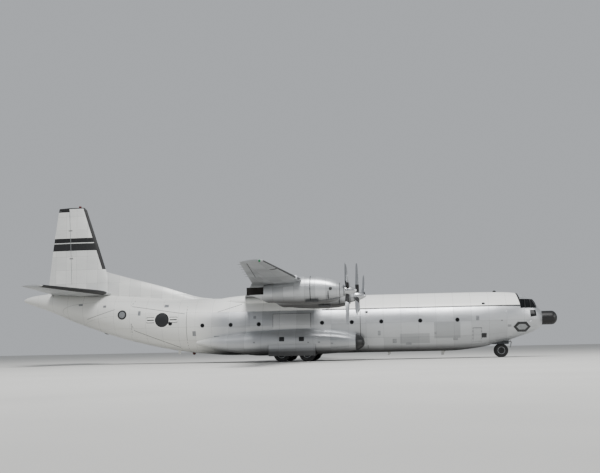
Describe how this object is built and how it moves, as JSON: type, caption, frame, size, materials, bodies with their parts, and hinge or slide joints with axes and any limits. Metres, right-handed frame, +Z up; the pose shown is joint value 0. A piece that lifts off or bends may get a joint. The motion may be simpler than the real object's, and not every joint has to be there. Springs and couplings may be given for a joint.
{
  "type": "four-turboprop military transport plane, 1:2 scale model",
  "caption": "High-wing freighter with turboprop engines on underwing nacelles, round body with a hollow hold, rear ramp, side wheel pods and a tall fin, parked on its gear.",
  "frame": {"origin": "on the ground plane, in the plane of symmetry, at half the overall length", "axes": "+X towards the nose, +Y to port, +Z up"},
  "size_m": [24.01, 27.4, 7.235],
  "materials": {
    "white_paint": "satin white enamel over aluminium skin, bare below the side stripe",
    "bare_aluminium": "unpainted rolled skin with rivet rows",
    "black_rubber": "matte black weather coating",
    "window_glass": "flat laminated glass",
    "cabin_paint": "matte dark cabin paint",
    "floor_metal": "worn floor plates",
    "tyre": "ribbed aircraft tyre on a steel wheel",
    "burnt_steel": "soot-blackened jet pipe",
    "propeller_metal": "brushed blades and polished spinner",
    "gear_steel": "grey enamel"
  },
  "bodies": {
    "airframe": {"radome": "black_rubber", "nose_section": "white_paint", "windscreen": "window_glass", "flight_deck": "cabin_paint", "forward_fuselage": "white_paint", "centre_fuselage": "white_paint", "aft_fuselage": "white_paint", "tail_fuselage": "white_paint", "cargo_floor": "floor_metal", "wing_centre": "white_paint", "wing_left": "bare_aluminium", "wing_right": "bare_aluminium", "wing_fairing": "white_paint", "nacelle_1": "bare_aluminium", "engine_1": "burnt_steel", "nacelle_2": "bare_aluminium", "engine_2": "burnt_steel", "nacelle_3": "bare_aluminium", "engine_3": "burnt_steel", "nacelle_4": "bare_aluminium", "engine_4": "burnt_steel", "gear_pod_left": "white_paint", "gear_pod_right": "white_paint", "pod_cap_left": "black_rubber", "pod_cap_right": "black_rubber", "gear_door_left": "bare_aluminium", "gear_door_right": "bare_aluminium", "main_gear_leg_left": "gear_steel", "main_gear_leg_right": "gear_steel", "nose_gear_leg": "gear_steel", "fin": "white_paint", "tailplane_left": "white_paint", "tailplane_right": "white_paint"},
    "propeller_1": {"propeller_1": "propeller_metal"},
    "propeller_2": {"propeller_2": "propeller_metal"},
    "propeller_3": {"propeller_3": "propeller_metal"},
    "propeller_4": {"propeller_4": "propeller_metal"},
    "nose_steering": {"nose_steering_fork": "gear_steel"},
    "nose_wheels": {"nose_wheels": "tyre"},
    "main_wheels_front_left": {"main_wheels_front_left": "tyre"},
    "main_wheels_rear_left": {"main_wheels_rear_left": "tyre"},
    "main_wheels_front_right": {"main_wheels_front_right": "tyre"},
    "main_wheels_rear_right": {"main_wheels_rear_right": "tyre"},
    "cargo_ramp": {"cargo_ramp": "bare_aluminium"},
    "aft_cargo_door": {"aft_cargo_door": "white_paint"},
    "crew_door": {"crew_door": "bare_aluminium"},
    "side_cargo_door": {"side_cargo_door": "white_paint"},
    "rudder": {"rudder": "white_paint"},
    "elevator_left": {"elevator_left": "white_paint"},
    "elevator_right": {"elevator_right": "white_paint"},
    "aileron_left": {"aileron_left": "bare_aluminium"},
    "flap_inner_left": {"flap_inner_left": "bare_aluminium"},
    "flap_middle_left": {"flap_middle_left": "bare_aluminium"},
    "flap_outer_left": {"flap_outer_left": "bare_aluminium"},
    "aileron_right": {"aileron_right": "bare_aluminium"},
    "flap_inner_right": {"flap_inner_right": "bare_aluminium"},
    "flap_middle_right": {"flap_middle_right": "bare_aluminium"},
    "flap_outer_right": {"flap_outer_right": "bare_aluminium"}
  },
  "joints": [
    {"name": "propeller_1_turn", "type": "hinge", "parent": "airframe", "child": "propeller_1", "pos_m": [3.275, 6.15, 2.735], "axis": [1, 0, 0], "continuous": true},
    {"name": "propeller_2_turn", "type": "hinge", "parent": "airframe", "child": "propeller_2", "pos_m": [3.505, 3.1, 2.67], "axis": [1, 0, 0], "continuous": true},
    {"name": "propeller_3_turn", "type": "hinge", "parent": "airframe", "child": "propeller_3", "pos_m": [3.505, -3.1, 2.67], "axis": [1, 0, 0], "continuous": true},
    {"name": "propeller_4_turn", "type": "hinge", "parent": "airframe", "child": "propeller_4", "pos_m": [3.275, -6.15, 2.735], "axis": [1, 0, 0], "continuous": true},
    {"name": "nose_steering", "type": "hinge", "parent": "airframe", "child": "nose_steering", "pos_m": [9.54, 0, 0.5], "axis": [0, 0, 1], "range_deg": [-60, 60]},
    {"name": "nose_wheels_turn", "type": "hinge", "parent": "nose_steering", "child": "nose_wheels", "pos_m": [9.54, 0, 0.3], "axis": [0, 1, 0], "continuous": true},
    {"name": "main_wheels_front_left_turn", "type": "hinge", "parent": "airframe", "child": "main_wheels_front_left", "pos_m": [1.225, 1.475, 0.355], "axis": [0, 1, 0], "continuous": true},
    {"name": "main_wheels_rear_left_turn", "type": "hinge", "parent": "airframe", "child": "main_wheels_rear_left", "pos_m": [0.125, 1.475, 0.355], "axis": [0, 1, 0], "continuous": true},
    {"name": "main_wheels_front_right_turn", "type": "hinge", "parent": "airframe", "child": "main_wheels_front_right", "pos_m": [1.225, -1.475, 0.355], "axis": [0, 1, 0], "continuous": true},
    {"name": "main_wheels_rear_right_turn", "type": "hinge", "parent": "airframe", "child": "main_wheels_rear_right", "pos_m": [0.125, -1.475, 0.355], "axis": [0, 1, 0], "continuous": true},
    {"name": "cargo_ramp_hinge", "type": "hinge", "parent": "airframe", "child": "cargo_ramp", "pos_m": [-4.151, 0, 0.49], "axis": [0, -1, 0], "range_deg": [0, 32]},
    {"name": "aft_cargo_door_hinge", "type": "hinge", "parent": "airframe", "child": "aft_cargo_door", "pos_m": [-6.614, 0, 1.28], "axis": [0, -1, 0], "range_deg": [0, 60]},
    {"name": "crew_door_hinge", "type": "hinge", "parent": "airframe", "child": "crew_door", "pos_m": [8.415, -0.806, 0.7], "axis": [1, 0, 0], "range_deg": [0, 80]},
    {"name": "side_cargo_door_hinge", "type": "hinge", "parent": "airframe", "child": "side_cargo_door", "pos_m": [6.605, 1.1675, 2.095], "axis": [1, 0, 0], "range_deg": [0, 110]},
    {"name": "rudder_hinge", "type": "hinge", "parent": "airframe", "child": "rudder", "pos_m": [-9.71, 0, 3.68], "axis": [-0.0434, 0, 0.9991], "range_deg": [-25, 25]},
    {"name": "elevator_left_hinge", "type": "hinge", "parent": "airframe", "child": "elevator_left", "pos_m": [-9.345, 0.85, 3.25623], "axis": [-0.1947, 0.9804, 0.0306], "range_deg": [-20, 25]},
    {"name": "elevator_right_hinge", "type": "hinge", "parent": "airframe", "child": "elevator_right", "pos_m": [-9.345, -0.85, 3.25623], "axis": [0.1947, 0.9804, -0.0306], "range_deg": [-20, 25]},
    {"name": "aileron_left_hinge", "type": "hinge", "parent": "airframe", "child": "aileron_left", "pos_m": [0.23451, 8.9, 3.18602], "axis": [0.0601, 0.9979, 0.0253], "range_deg": [-20, 20]},
    {"name": "flap_inner_left_hinge", "type": "hinge", "parent": "airframe", "child": "flap_inner_left", "pos_m": [-0.52752, 1.475, 2.87113], "axis": [-0.1325, -0.9905, -0.0381], "range_deg": [0, 40]},
    {"name": "flap_middle_left_hinge", "type": "hinge", "parent": "airframe", "child": "flap_middle_left", "pos_m": [-0.24322, 3.6, 2.9526], "axis": [-0.1325, -0.9905, -0.0375], "range_deg": [0, 40]},
    {"name": "flap_outer_left_hinge", "type": "hinge", "parent": "airframe", "child": "flap_outer_left", "pos_m": [0.16092, 6.65, 3.06751], "axis": [-0.0532, -0.998, -0.0332], "range_deg": [0, 40]},
    {"name": "aileron_right_hinge", "type": "hinge", "parent": "airframe", "child": "aileron_right", "pos_m": [0.23451, -8.9, 3.18602], "axis": [-0.0601, 0.9979, -0.0253], "range_deg": [-20, 20]},
    {"name": "flap_inner_right_hinge", "type": "hinge", "parent": "airframe", "child": "flap_inner_right", "pos_m": [-0.52752, -1.475, 2.87113], "axis": [0.1325, -0.9905, 0.0381], "range_deg": [0, 40]},
    {"name": "flap_middle_right_hinge", "type": "hinge", "parent": "airframe", "child": "flap_middle_right", "pos_m": [-0.24322, -3.6, 2.9526], "axis": [0.1325, -0.9905, 0.0375], "range_deg": [0, 40]},
    {"name": "flap_outer_right_hinge", "type": "hinge", "parent": "airframe", "child": "flap_outer_right", "pos_m": [0.16092, -6.65, 3.06751], "axis": [0.0532, -0.998, 0.0332], "range_deg": [0, 40]}
  ]
}
